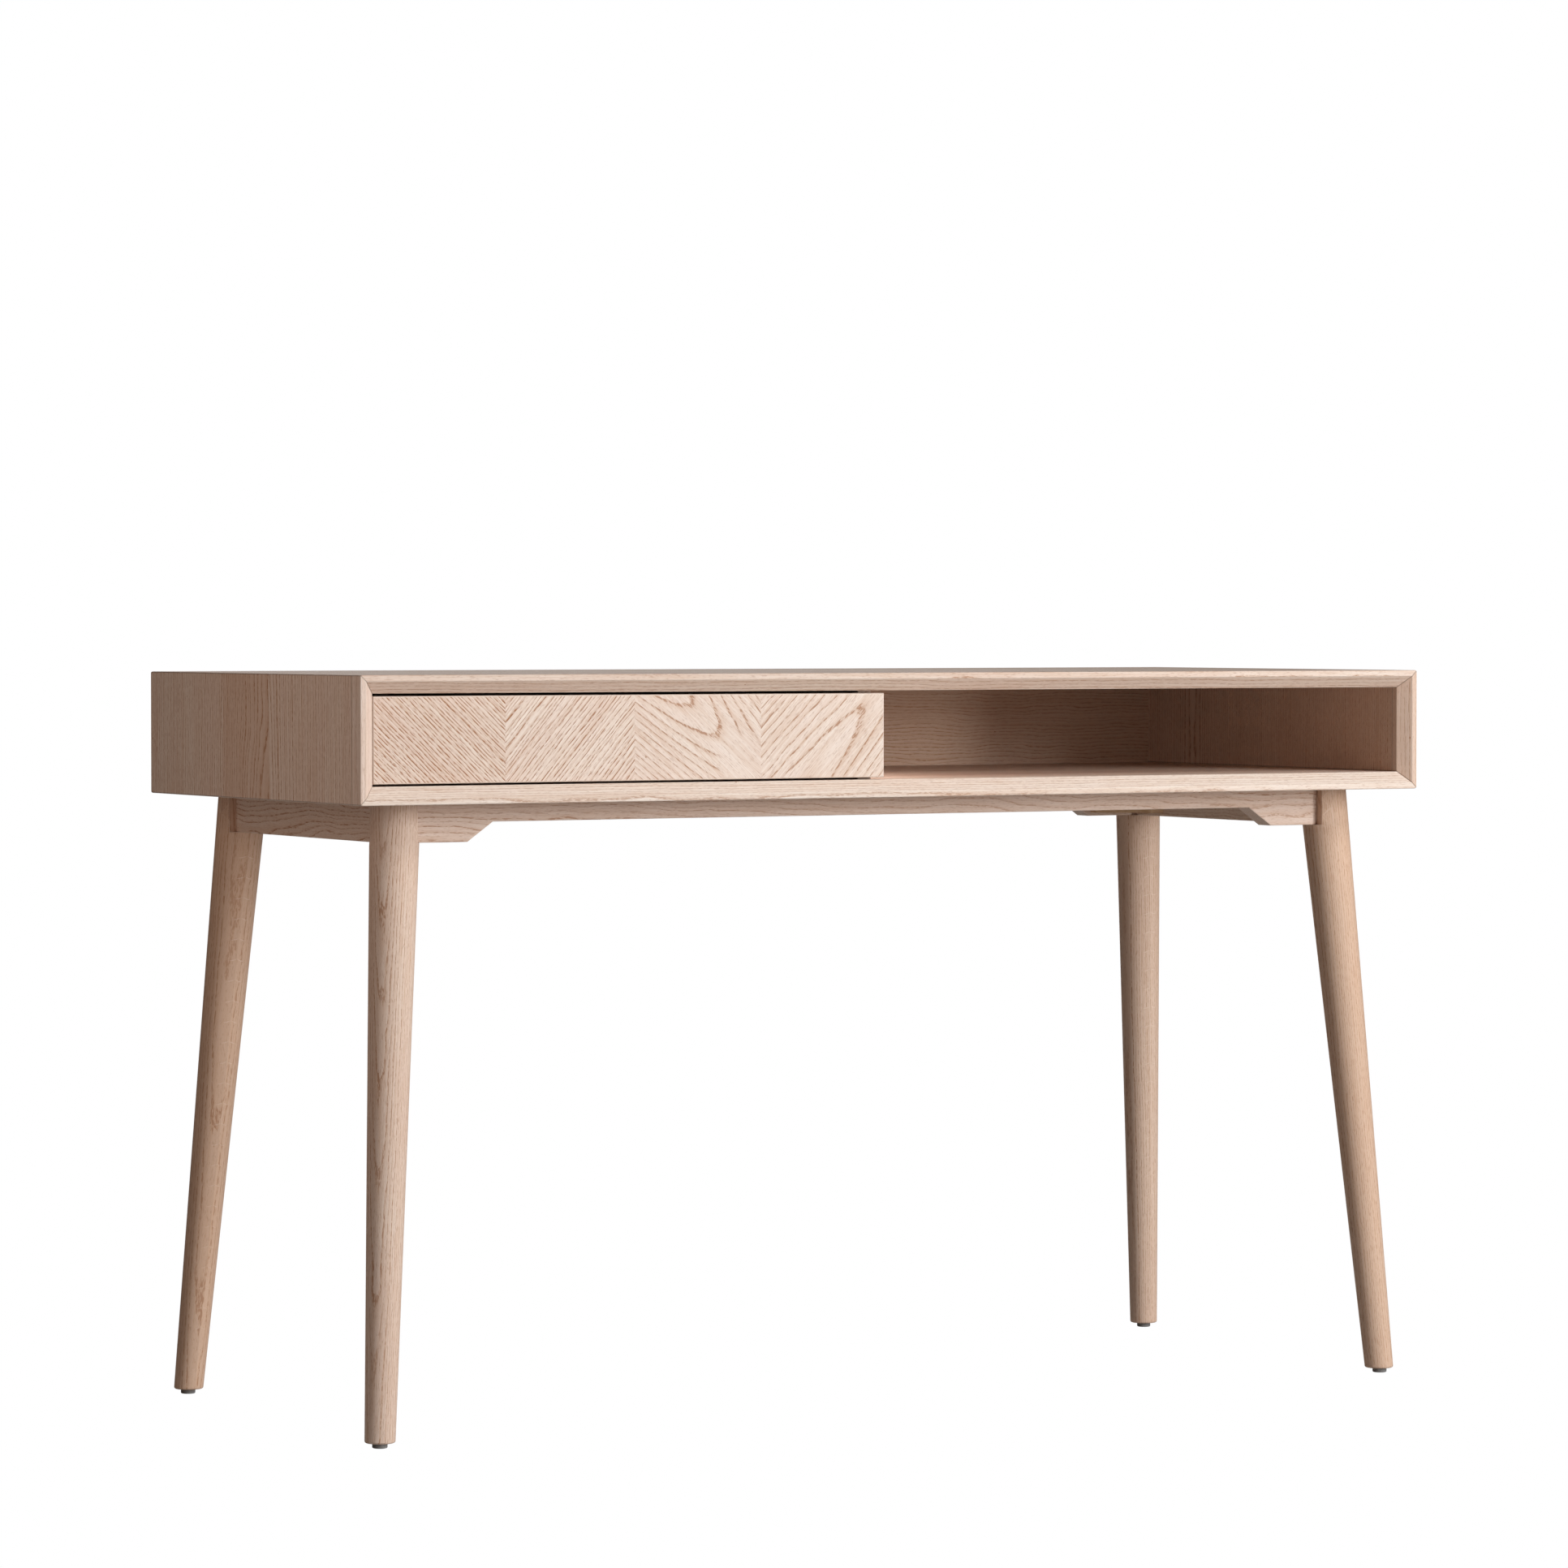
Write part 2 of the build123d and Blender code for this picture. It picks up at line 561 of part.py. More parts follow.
def build_frame():
    """The legs, glides, aprons, corner blocks and every fastener between them."""
    for corner in LEG_CORNERS:
        save(f"{corner}_leg", at_corner(leg(), corner))
        save(f"{corner}_glide", at_corner(glide(), corner))
        save(f"{corner}_corner_block", at_corner(corner_block(), corner))
    save("front_apron", front_apron())
    save("back_apron", mirror(front_apron(), about=Plane.XZ))
    save("left_apron", side_apron())
    save("right_apron", mirror(side_apron(), about=Plane.YZ))
    save("leg_bolts", *at_all_corners(leg_bolt()))
    save("leg_bolt_washers", *at_all_corners(bolt_washer()))
    save("leg_bolt_nuts", *at_all_corners(bolt_nut()))
    save("apron_dowels", *at_all_corners(dowel("front")), *at_all_corners(dowel("side")))
    block_screws = [seat(*block_screw(direction)) * screw("block") for direction in ("front", "side")]
    save("corner_block_screws", *[copy for item in block_screws for copy in at_all_corners(item)])
    frame_screws = [place * screw("frame") for place in frame_screw_seats()]
    save("frame_screws", *[copy for item in frame_screws for copy in at_all_corners(item)])


os.makedirs("parts", exist_ok=True)
build_case()
build_drawer_front()
build_drawer_box()
build_slides()
build_frame()
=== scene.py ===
import json
import math
from collections import namedtuple
from dataclasses import dataclass

import bpy
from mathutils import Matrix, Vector


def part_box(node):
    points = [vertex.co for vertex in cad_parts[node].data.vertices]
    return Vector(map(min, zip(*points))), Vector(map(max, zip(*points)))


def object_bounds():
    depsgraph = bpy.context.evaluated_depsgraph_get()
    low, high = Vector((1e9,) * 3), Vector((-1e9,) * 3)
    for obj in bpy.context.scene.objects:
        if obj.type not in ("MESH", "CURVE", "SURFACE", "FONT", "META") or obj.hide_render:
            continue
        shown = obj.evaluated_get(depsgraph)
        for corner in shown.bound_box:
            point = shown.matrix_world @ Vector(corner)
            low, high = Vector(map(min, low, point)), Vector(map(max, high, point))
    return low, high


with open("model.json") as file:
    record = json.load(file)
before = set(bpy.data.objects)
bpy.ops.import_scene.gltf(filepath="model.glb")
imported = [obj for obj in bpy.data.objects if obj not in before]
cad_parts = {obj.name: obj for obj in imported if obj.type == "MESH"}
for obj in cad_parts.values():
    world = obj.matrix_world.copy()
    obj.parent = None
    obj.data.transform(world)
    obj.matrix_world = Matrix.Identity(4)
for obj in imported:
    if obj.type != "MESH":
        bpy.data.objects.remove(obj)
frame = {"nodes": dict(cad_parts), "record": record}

NODES = frame["nodes"]
CAD_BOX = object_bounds()
MM = 0.001
X, Y, Z = Vector((1, 0, 0)), Vector((0, 1, 0)), Vector((0, 0, 1))


def linear(red, green, blue):
    """A colour from its usual 0 to 255 numbers, as the linear RGBA that shaders take."""
    share = [value / 255 for value in (red, green, blue)]
    return (*[s / 12.92 if s <= 0.04045 else ((s + 0.055) / 1.055) ** 2.4 for s in share], 1.0)


# ---- a short way to write shader nodes

class Shader:
    """The nodes of one material, or of the world."""

    def __init__(self, owner):
        self.owner = owner
        owner.use_nodes = True
        self.tree = owner.node_tree
        self.tree.nodes.clear()

    def add(self, kind, inputs=None, **settings):
        """Adds a node. Each input is a value, or a socket to link."""
        node = self.tree.nodes.new("ShaderNode" + kind)
        for name, value in settings.items():
            setattr(node, name, value)
        for name, value in (inputs or {}).items():
            if isinstance(value, bpy.types.NodeSocket):
                self.tree.links.new(value, node.inputs[name])
            else:
                node.inputs[name].default_value = value
        return node

    def math(self, operation, *values, clamp=False):
        return self.add("Math", dict(enumerate(values)), operation=operation, use_clamp=clamp).outputs[0]

    def scaled(self, value, factor, offset=0.0):
        return self.math("MULTIPLY_ADD", value, factor, offset)

    def square_sum(self, first, second):
        squares = [self.math("MULTIPLY", value, value) for value in (first, second)]
        return self.math("ADD", *squares)

    def dot(self, vector, direction):
        return self.add("VectorMath", {0: vector, 1: direction}, operation="DOT_PRODUCT").outputs["Value"]

    def vector(self, x, y, z):
        return self.add("CombineXYZ", {0: x, 1: y, 2: z}).outputs[0]

    def stretched(self, parts, factors, start=0.0):
        """A point from three distances, each times its own factor, with the first moved on by a start."""
        first, *others = zip(parts, factors)
        return self.vector(self.scaled(*first, start), *[self.scaled(*other) for other in others])

    def place(self):
        """Where a point of the object is, in metres."""
        return self.add("TexCoord").outputs["Object"]

    def noise(self, point, scale=1.0, detail=2.0, roughness=0.5, distortion=0.0):
        shape = {"Scale": scale, "Detail": detail, "Roughness": roughness, "Distortion": distortion}
        return self.add("TexNoise", {"Vector": point, **shape}).outputs["Fac"]

    def draw(self, number):
        """A random number from 0 to 1 for each whole step of a number."""
        return self.add("TexWhiteNoise", {"W": number}, noise_dimensions="1D").outputs["Value"]

    def steps(self, value, *stops):
        """A curve through (value, result) pairs, from 0 to 1."""
        node = self.add("ValToRGB", {0: value})
        elements = node.color_ramp.elements
        while len(elements) < len(stops):
            elements.new(0.5)
        for element, (position, result) in zip(elements, stops):
            element.position = position
            element.color = (result, result, result, 1)
        return node.outputs[0]

    def mix(self, share, low, high):
        return self.add("Mix", {0: share, 6: low, 7: high}, data_type="RGBA").outputs[2]

    def bump(self, height, strength, distance, normal=None):
        """A normal that follows small heights. The distance is in millimetres."""
        inputs = {"Height": height, "Strength": strength, "Distance": distance * MM}
        if normal is not None:
            inputs["Normal"] = normal
        return self.add("Bump", inputs).outputs[0]

    def output(self, kind, surface):
        """Links a surface to an output node."""
        self.tree.links.new(surface.outputs[0], self.add(kind).inputs[0])

    def finish(self, **inputs):
        """The surface. Underscores in input names stand for spaces."""
        values = {name.replace("_", " "): value for name, value in inputs.items()}
        self.output("OutputMaterial", self.add("BsdfPrincipled", values))
        return self.owner


def new_shader(name):
    return Shader(bpy.data.materials.new(name))


# ---- wood

# Facts of a cut of oak: the distance between growth rings, how far the heart of the tree lies under
# the board and beside it, how steeply the rings climb along the board, how far and how quickly they
# wander, how wide a ring's line of pores is, and how unevenly the rings are spaced. Lengths are in
# millimetres.
Cut = namedtuple("Cut", "ring depth side climb wave flow line uneven")
CUTS = {
    "close": Cut(3.2, 40, 170, 0.004, 1.6, 0.006, 1.2, 2.0),
    "straight": Cut(4.0, 40, 190, 0.004, 1.6, 0.006, 1.0, 2.4),
    "fine": Cut(2.7, 40, 150, 0.004, 1.8, 0.006, 0.75, 1.8),
    "rift": Cut(3.7, 40, 130, 0.008, 4.5, 0.014, 0.9, 1.5),
    "flowing": Cut(3.6, 46, 34, 0.03, 6, 0.008, 0.9, 1.8),
    "tongues": Cut(4.2, 61.2, -19, 0.106, 1.2, 0.006, 0.8, 0.2),
    "flame": Cut(6.0, 36.7, 17, 0.067, 2, 0.006, 1.1, 0.8),
    "stave": Cut(2.5, 36, 46, 0.008, 1.5, 0.006, 0.7, 1.8),
}


@dataclass
class Look:
    """What sets one piece of oak apart from the others."""

    cut: str = "straight"
    seed: float = 0.0
    seams: tuple = ()      # where its veneer leaves meet, in millimetres across the grain
    tone: float = 0.0      # paler below 0, rosier above it
    # On pieces that stand in shade, this warmer, darker colour is painted shade.
    warm: float = 0.0      # how far its whole colour moves towards early wood
    figure: float = 1.0    # how strongly its rings stand out
    soft: float = 0.42     # how dark its early wood is
    hard: float = 0.72     # how dark its pores are
    glue: bool = False     # whether the case's glue lines cross it
    quiet: tuple = None    # a spot where its figure fades
    # The front's eased outer edge is painted pale as a highlight line, with some wear.
    highlight_rim: tuple = None      # two corners of the front whose outer edges are eased


OAK_PALE = linear(232, 214, 199)
OAK_ROSE = linear(226, 203, 188)
OAK_EARLY = linear(201, 161, 131)
OAK_PORE = linear(160, 107, 72)
# The pale edge colour is partly wear and partly a painted highlight, where light would catch the rounded
# edges.
OAK_WORN_HIGHLIGHT = linear(240, 222, 206)
GLUE_LINE = linear(112, 78, 58)
WORN_HIGHLIGHT_SHARE, GLUE_SHARE, SPECK_SHARE = 0.75, 0.5, 0.75    # how far those colours take over

# How quickly each pattern changes, per millimetre along the grain and across it. The spacing of the
# rings changes outwards from the heart of the tree instead.
SLOW_BEND_ACROSS = 0.02
QUICK_BEND = (0.03, 0.14, 0.14)
DASH_ALONG, DASH_ACROSS = 0.17, 0.8
SPECK_SPREAD = (0.03, 0.045, 0.045)
RING_SPACING_CHANGE = 0.12

# Each ring is as bold as a base and a random share of a spread, up to a limit. Its dashes of pores
# are drawn afresh by a shift in their pattern.
RING_BASE, RING_SPREAD, BOLDEST_RING = 0.55, 0.45, 1.15
RING_DASH_SHIFT = 13.7

# How far a veneer leaf's random draw shifts its grain, in millimetres, and its tone.
LEAF_SHIFT_ALONG, LEAF_SHIFT_ACROSS = 900, 60
LEAF_TONE = 0.5

# Specks as a share of the distance between them, and the draw above which there is one.
SPECK_RADIUS, SPECK_DRAW = 0.035, 0.72

# The radius of eased edges and how far glue lines and the front's eased outer band reach, in millimetres;
# that band is painted pale as a highlight line, with some wear.
EDGE_RADIUS, GLUE_REACH, RIM_REACH = 1.1, 1.6, 2

HALF_LENGTH = CAD_BOX[1].x
CASE_TOP = CAD_BOX[1].z
CASE_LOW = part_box("left_panel")[0].z
PANEL_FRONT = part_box("top_panel")[0].y


def board_parts(shader, grain, across, centre):
    """Distances along the grain, across it and into the board, in millimetres from its centre."""
    place = shader.place()
    parts = []
    for direction in (grain, across, grain.cross(across)):
        scaled = direction / MM
        parts.append(shader.math("SUBTRACT", shader.dot(place, scaled), centre.dot(scaled)))
    return parts


def veneer_leaves(shader, parts, seams, seed):
    """The distances within veneer leaves that meet at seams, and a random number for each leaf."""
    along, across, into = parts
    number = seed
    for seam in seams:
        number = shader.math("ADD", shader.math("GREATER_THAN", across, seam), number)
    draw = shader.draw(number)
    along = shader.math("ADD", along, shader.scaled(draw, LEAF_SHIFT_ALONG))
    across = shader.math("ADD", across, shader.scaled(draw, LEAF_SHIFT_ACROSS, -LEAF_SHIFT_ACROSS / 2))
    return [along, across, into], draw


def ring_count(shader, parts, cut, seed):
    """How many growth rings lie between the heart of the tree and a point."""
    along, across, into = parts
    slow_place = shader.stretched(parts, (cut.flow, SLOW_BEND_ACROSS, SLOW_BEND_ACROSS), seed)
    slow = shader.scaled(shader.noise(slow_place, detail=2), 2 * cut.wave, -cut.wave)
    quick = shader.noise(shader.stretched(parts, QUICK_BEND, seed), detail=3)
    bend = shader.math("ADD", slow, shader.scaled(quick, cut.ring / 2, -cut.ring / 4))
    height = shader.math("ADD", shader.scaled(along, cut.climb, cut.depth), shader.math("ADD", into, bend))
    side = shader.math("ADD", shader.scaled(across, 1.0, cut.side), bend)
    radius = shader.math("SQRT", shader.square_sum(height, side))
    spacing_place = shader.vector(shader.scaled(radius, RING_SPACING_CHANGE, seed), 0.0, 0.0)
    spacing = shader.scaled(shader.noise(spacing_place, detail=1), cut.uneven)
    return shader.math("ADD", shader.scaled(radius, 1 / cut.ring), spacing)


def case_glue_line(shader):
    """1 on the thin lines where the case's mitres close and where the lippings meet the boards."""
    place = shader.add("SeparateXYZ", {0: shader.place()}).outputs
    middle = (CASE_TOP + CASE_LOW) / 2
    from_side = shader.math("SUBTRACT", HALF_LENGTH, shader.math("ABSOLUTE", place[0]))
    from_middle = shader.math("ABSOLUTE", shader.math("SUBTRACT", place[2], middle))
    from_edge = shader.math("SUBTRACT", CASE_TOP - middle, from_middle)
    mitre = shader.math("ABSOLUTE", shader.math("SUBTRACT", from_side, from_edge))
    seam = shader.math("ABSOLUTE", shader.math("SUBTRACT", place[1], PANEL_FRONT))
    nearest = shader.math("MINIMUM", mitre, seam)
    return shader.steps(shader.scaled(nearest, 1 / (GLUE_REACH * MM)), (0.0, 1.0), (0.3, 0.85), (0.6, 0.0))


def specks(shader, parts, seed):
    """1 on small dark specks, far apart and at random."""
    cells = shader.add("TexVoronoi", {"Vector": shader.stretched(parts, SPECK_SPREAD), "Scale": 1.0})
    near = shader.math("LESS_THAN", cells.outputs["Distance"], SPECK_RADIUS)
    place = {"Vector": cells.outputs["Position"], "W": seed}
    draw = shader.add("TexWhiteNoise", place, noise_dimensions="4D").outputs["Value"]
    return shader.math("MULTIPLY", near, shader.math("GREATER_THAN", draw, SPECK_DRAW))


def outside_spot(shader, along, across, spot_along, spot_across, radius):
    """0 within a round spot on a board and 1 well outside it."""
    offset_along = shader.scaled(along, 1 / radius, -spot_along / radius)
    offset_across = shader.scaled(across, 1 / radius, -spot_across / radius)
    return shader.steps(shader.square_sum(offset_along, offset_across), (0.45, 0.0), (1.0, 1.0))


# This mask gives the eased edges their pale colour, partly wear and partly painted highlight.
def worn_highlight_edge(shader, eased):
    """How much a point lies on a rounded edge, from 0 to about 1."""
    alike = shader.dot(eased, shader.add("NewGeometry").outputs["True Normal"])
    return shader.steps(shader.scaled(alike, -5.0, 5.0), (0.05, 0.0), (0.5, 1.0))


def near_highlight_rim(shader, low, high):
    """1 along the eased outer edge of an upright front that spans from one corner to another, where a pale
    highlight line is painted.
    """
    place = shader.add("SeparateXYZ", {0: shader.place()}).outputs
    insets = []
    for axis in (0, 2):
        half, middle = (high[axis] - low[axis]) / 2, (high[axis] + low[axis]) / 2
        offset = shader.math("ABSOLUTE", shader.scaled(place[axis], 1.0, -middle))
        insets.append(shader.math("SUBTRACT", half, offset))
    inset = shader.math("MINIMUM", *insets)
    return shader.steps(shader.scaled(inset, 1 / (RIM_REACH * MM)), (0.45, 1.0), (0.75, 0.0))


def streaks(shader, parts, seed, length, width, detail=1.0):
    """Noise drawn out along the grain, from its usual length and width in millimetres."""
    return shader.noise(shader.stretched(parts, (1 / length, 1 / width, 1 / width), seed), detail=detail)


def ring_boldness(shader, parts, number, look):
    """How strongly each ring stands out."""
    bold = shader.scaled(shader.draw(number), RING_SPREAD * look.figure, RING_BASE * look.figure)
    bold = shader.math("MINIMUM", bold, BOLDEST_RING)
    if look.quiet:
        bold = shader.math("MULTIPLY", bold, outside_spot(shader, *parts[:2], *look.quiet))
    return bold


def ring_marks(shader, parts, look):
    """How much a point lies in a ring's early wood, and in one of its dashes of pores."""
    cut = CUTS[look.cut]
    turns = ring_count(shader, parts, cut, look.seed)
    phase, number = shader.math("FRACT", turns), shader.math("FLOOR", turns)
    bold = ring_boldness(shader, parts, number, look)
    line = cut.line / cut.ring
    early = shader.steps(phase, (0.0, 0.9), (line, 0.75), (2.4 * line, 0.1), (0.94, 0.0), (1.0, 0.9))
    early = shader.math("MULTIPLY", early, bold)

    along, across, into = parts
    shift = shader.scaled(number, RING_DASH_SHIFT)
    dash_place = shader.math("ADD", shader.scaled(along, DASH_ALONG), shift)
    sideways = [shader.scaled(part, DASH_ACROSS) for part in (across, into)]
    dashes = shader.noise(shader.vector(dash_place, *sideways), detail=1)
    band = shader.steps(phase, (0.0, 1.0), (0.6 * line, 1.0), (line, 0.0))
    pores = shader.math("MULTIPLY", shader.steps(dashes, (0.44, 0.15), (0.53, 1.0)), band)
    return early, shader.math("MULTIPLY", pores, bold, clamp=True)


def oak_ground(shader, parts, draw, look):
    """The colour between the rings: slow changes of tone, each veneer leaf's own, and a warm shift that on
    pieces in shade is painted shade.
    """
    cloud = streaks(shader, parts, look.seed, 260, 45, 2)
    cloud = shader.math("ADD", cloud, shader.scaled(draw, LEAF_TONE, look.tone - LEAF_TONE / 2))
    colour = shader.mix(shader.steps(cloud, (0.3, 0.0), (0.7, 1.0)), OAK_PALE, OAK_ROSE)
    return shader.mix(look.warm, colour, OAK_EARLY) if look.warm else colour


def oak_edges(shader, colour, look):
    """The normal of softened edges, and the colour with glue lines and with edges painted pale as wear and
    as a painted highlight.
    """
    eased = shader.add("Bevel", {"Radius": EDGE_RADIUS * MM}, samples=6).outputs[0]
    # On the drawer front, a painted highlight line with some wear runs along the whole outer edge.
    if look.highlight_rim:
        worn_highlight = near_highlight_rim(shader, *look.highlight_rim)
        eased = shader.mix(worn_highlight, shader.add("NewGeometry").outputs["Normal"], eased)
    else:
        worn_highlight = worn_highlight_edge(shader, eased)
    # Painted highlight and wear: the masked edges turn pale.
    colour = shader.mix(shader.scaled(worn_highlight, WORN_HIGHLIGHT_SHARE), colour, OAK_WORN_HIGHLIGHT)
    if look.glue:
        colour = shader.mix(shader.scaled(case_glue_line(shader), GLUE_SHARE), colour, GLUE_LINE)
    return eased, colour


def oak(name, grain, across, centre, look):
    """Satin oak with growth rings, pores, fibres, slow changes of tone and eased edges painted pale as wear
    and as a painted highlight.
    """
    shader = new_shader(name)
    parts = board_parts(shader, grain, across, centre)
    draw = 0.5
    if look.seams:
        parts, draw = veneer_leaves(shader, parts, look.seams, look.seed)
    early, pores = ring_marks(shader, parts, look)
    flecks = shader.steps(streaks(shader, parts, look.seed, 6, 0.7), (0.58, 0.0), (0.70, 0.5))
    pores = shader.math("MAXIMUM", pores, flecks)
    fibre = streaks(shader, parts, look.seed, 45, 0.8, 3)
    stripe = streaks(shader, parts, look.seed, 240, 4, 2)

    colour = oak_ground(shader, parts, draw, look)
    colour = shader.mix(shader.scaled(early, look.soft), colour, OAK_EARLY)
    if look.seams:
        colour = shader.mix(shader.steps(draw, (0.4, 0.0), (0.9, 0.3)), colour, OAK_EARLY)
    colour = shader.mix(shader.steps(fibre, (0.42, 0.0), (0.68, 0.4)), colour, OAK_EARLY)
    colour = shader.mix(shader.steps(stripe, (0.48, 0.0), (0.75, 0.3)), colour, OAK_EARLY)
    colour = shader.mix(shader.scaled(pores, look.hard), colour, OAK_PORE)
    colour = shader.mix(shader.scaled(specks(shader, parts, look.seed), SPECK_SHARE), colour, OAK_PORE)
    eased, colour = oak_edges(shader, colour, look)

    relief = shader.math("ADD", shader.scaled(pores, -1.0), shader.scaled(fibre, 0.35))
    normal = shader.bump(relief, 0.35, 0.25, eased)
    rough = shader.math("ADD", shader.scaled(pores, 0.2), shader.scaled(fibre, 0.12, 0.4))
    return shader.finish(Base_Color=colour, Normal=normal, Roughness=rough, IOR=1.48)


def plain_wood(name, grain, across, centre, pale, deep, ply=None, seed=0.0):
    """Close-grained wood: beech, or birch plywood with two plies in each thickness given."""
    shader = new_shader(name)
    parts = board_parts(shader, grain, across, centre)
    flecks = shader.noise(shader.stretched(parts, (0.18, 1.4, 1.4)), 1.0, 2, 0.6)
    figure = shader.noise(shader.stretched(parts, (0.008, 0.06, 0.06)), 1.0 + seed * 0.1, 3, 0.5, 0.6)
    colour = shader.mix(shader.steps(figure, (0.35, 0.0), (0.7, 1.0)), pale, deep)
    colour = shader.mix(shader.steps(flecks, (0.55, 0.0), (0.72, 0.35)), colour, deep)
    if ply:
        turn = shader.math("FRACT", shader.scaled(parts[2], 1 / ply))
        layer = shader.steps(turn, (0.0, 0.5), (0.1, 0.0), (0.5, 0.0), (0.52, 0.3), (0.98, 0.3))
        colour = shader.mix(layer, colour, deep)
    normal = shader.bump(flecks, 0.25, 0.15)
    rough = shader.scaled(flecks, 0.2, 0.42)
    return shader.finish(Base_Color=colour, Normal=normal, Roughness=rough, IOR=1.46)


# ---- metal and plastic

STEEL_BRIGHT = linear(202, 205, 208)
STEEL_CLOUDY = linear(176, 181, 188)
STEEL_BRUSHED = linear(150, 152, 156)
PLASTIC_GREY = linear(128, 124, 121)
PLASTIC_SCUFFED = linear(158, 153, 148)


def axis_parts(shader, *directions):
    """Distances along some directions, in millimetres."""
    place = shader.place()
    return [shader.dot(place, direction / MM) for direction in directions]


def zinc_steel():
    """Zinc-plated steel: a brushed, slightly cloudy silver with a faint blue cast."""
    shader = new_shader("zinc_plated_steel")
    parts = axis_parts(shader, Y, X, Z)
    brushed = shader.noise(shader.stretched(parts, (0.05, 4.0, 4.0)), 1.0, 3, 0.6)
    cloud = shader.noise(shader.stretched(parts, (0.05, 0.08, 0.08)), 1.0, 3)
    colour = shader.mix(shader.steps(cloud, (0.35, 0.0), (0.7, 1.0)), STEEL_BRIGHT, STEEL_CLOUDY)
    colour = shader.mix(shader.scaled(brushed, 0.25), colour, STEEL_BRUSHED)
    normal = shader.bump(brushed, 0.12, 0.05)
    rough = shader.scaled(brushed, 0.2, 0.24)
    return shader.finish(Base_Color=colour, Normal=normal, Roughness=rough, Metallic=1.0)


def glide_plastic():
    """Moulded grey plastic with a fine eroded texture and pale scuffs."""
    shader = new_shader("glide_plastic")
    parts = axis_parts(shader, X, Y, Z)
    grain = shader.noise(shader.stretched(parts, (3.0, 3.0, 3.0)), 1.0, 3, 0.6)
    scuffs = shader.noise(shader.stretched(parts, (0.6, 0.6, 2.5)), 1.0, 2)
    colour = shader.mix(shader.steps(scuffs, (0.5, 0.0), (0.75, 0.5)), PLASTIC_GREY, PLASTIC_SCUFFED)
    normal = shader.bump(grain, 0.3, 0.1)
    rough = shader.scaled(grain, 0.2, 0.45)
    return shader.finish(Base_Color=colour, Normal=normal, Roughness=rough, IOR=1.5)


# ---- giving each node its material

# The pale and the deep colour of each plain wood, and how thick a pair of plies is in millimetres.
BIRCH = (linear(226, 205, 172), linear(205, 178, 140))
BEECH = (linear(222, 188, 152), linear(196, 156, 118))
PLY_PAIR = 2.8

# The cut of each veneer leaf from left to right, the slope of its grain in degrees, its seed, and how
# dark its early wood and its pores are.
LEAVES = (
    ("close", -43, 21.0, 0.42, 1.0),
    ("straight", 49, 27.4, 0.36, 0.95),
    ("tongues", -42, 33.1, 0.34, 0.74),
    ("flame", 47, 39.6, 0.34, 0.74),
)
LEAF_FIGURE = 1.4
# Where the third leaf's figure fades: along the grain, across it and the radius, in millimetres.
QUIET_SPOT = (54, 16, 34)

# How warm each leg's wood is: the legs that stand more in shade are painted warmer and darker, as painted
# shade. Each leg is turned about its axis, so that no two show the same side.
LEG_WARMTH_AND_SHADE = {"front_left": 0.3, "front_right": 0.7, "back_left": 0.75, "back_right": 0.5}
LEG_TURN = 1.9
LEG_SEED, LEG_SEED_STEP = 41.0, 7


def paint(node, material):
    """Gives a node one material."""
    mesh = NODES[node].data
    mesh.materials.clear()
    mesh.materials.append(material)


def centre_of(node):
    low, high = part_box(node)
    return (low + high) / 2


def paint_oak(node, grain, across, **choices):
    paint(node, oak(f"oak_{node}", grain, across, centre_of(node), Look(**choices)))


def paint_case():
    """Boards, lippings, back and divider of the case."""
    flowing = {"cut": "flowing", "glue": True}
    paint_oak("top_panel", X, Y, seed=15.7, seams=(-82, 79), **flowing)
    paint_oak("bottom_panel", X, -Y, seed=12.8, seams=(-75, 88), **flowing)
    paint_oak("left_panel", Z, Y, seed=23.4, seams=(-51, 61), figure=1.9, tone=0.1, **flowing)
    fine = {"cut": "fine", "glue": True}
    # The right panel's warmer, rosier colour is painted shade of the open bay.
    paint_oak("right_panel", Z, -Y, seed=47.0, seams=(-84, 66), figure=1.3, tone=0.15, warm=0.45, **fine)
    paint_oak("top_front_lipping", X, -Y, seed=11.0, figure=1.0, warm=0.15, **fine)
    # The bottom lipping's paler tone is painted light: its upward bevel is made lighter than the front.
    paint_oak("bottom_front_lipping", X, Y, seed=12.5, figure=0.8, tone=-0.45, **fine)
    paint_oak("left_front_lipping", Z, X, seed=14.2, figure=0.5, tone=0.15, **fine)
    # The right lipping's warmth is painted shade on its bevel, which faces away from the light.
    paint_oak("right_front_lipping", Z, X, seed=15.8, figure=0.6, tone=0.1, warm=0.4, **fine)
    # The back panel's warmth is painted shade of the open bay.
    paint_oak("back_panel", X, Z, cut="rift", seed=6.3, figure=1.2, warm=0.5, soft=0.75, hard=0.6)
    paint_oak("divider_panel", Z, -Y, cut="fine", seed=9.9)


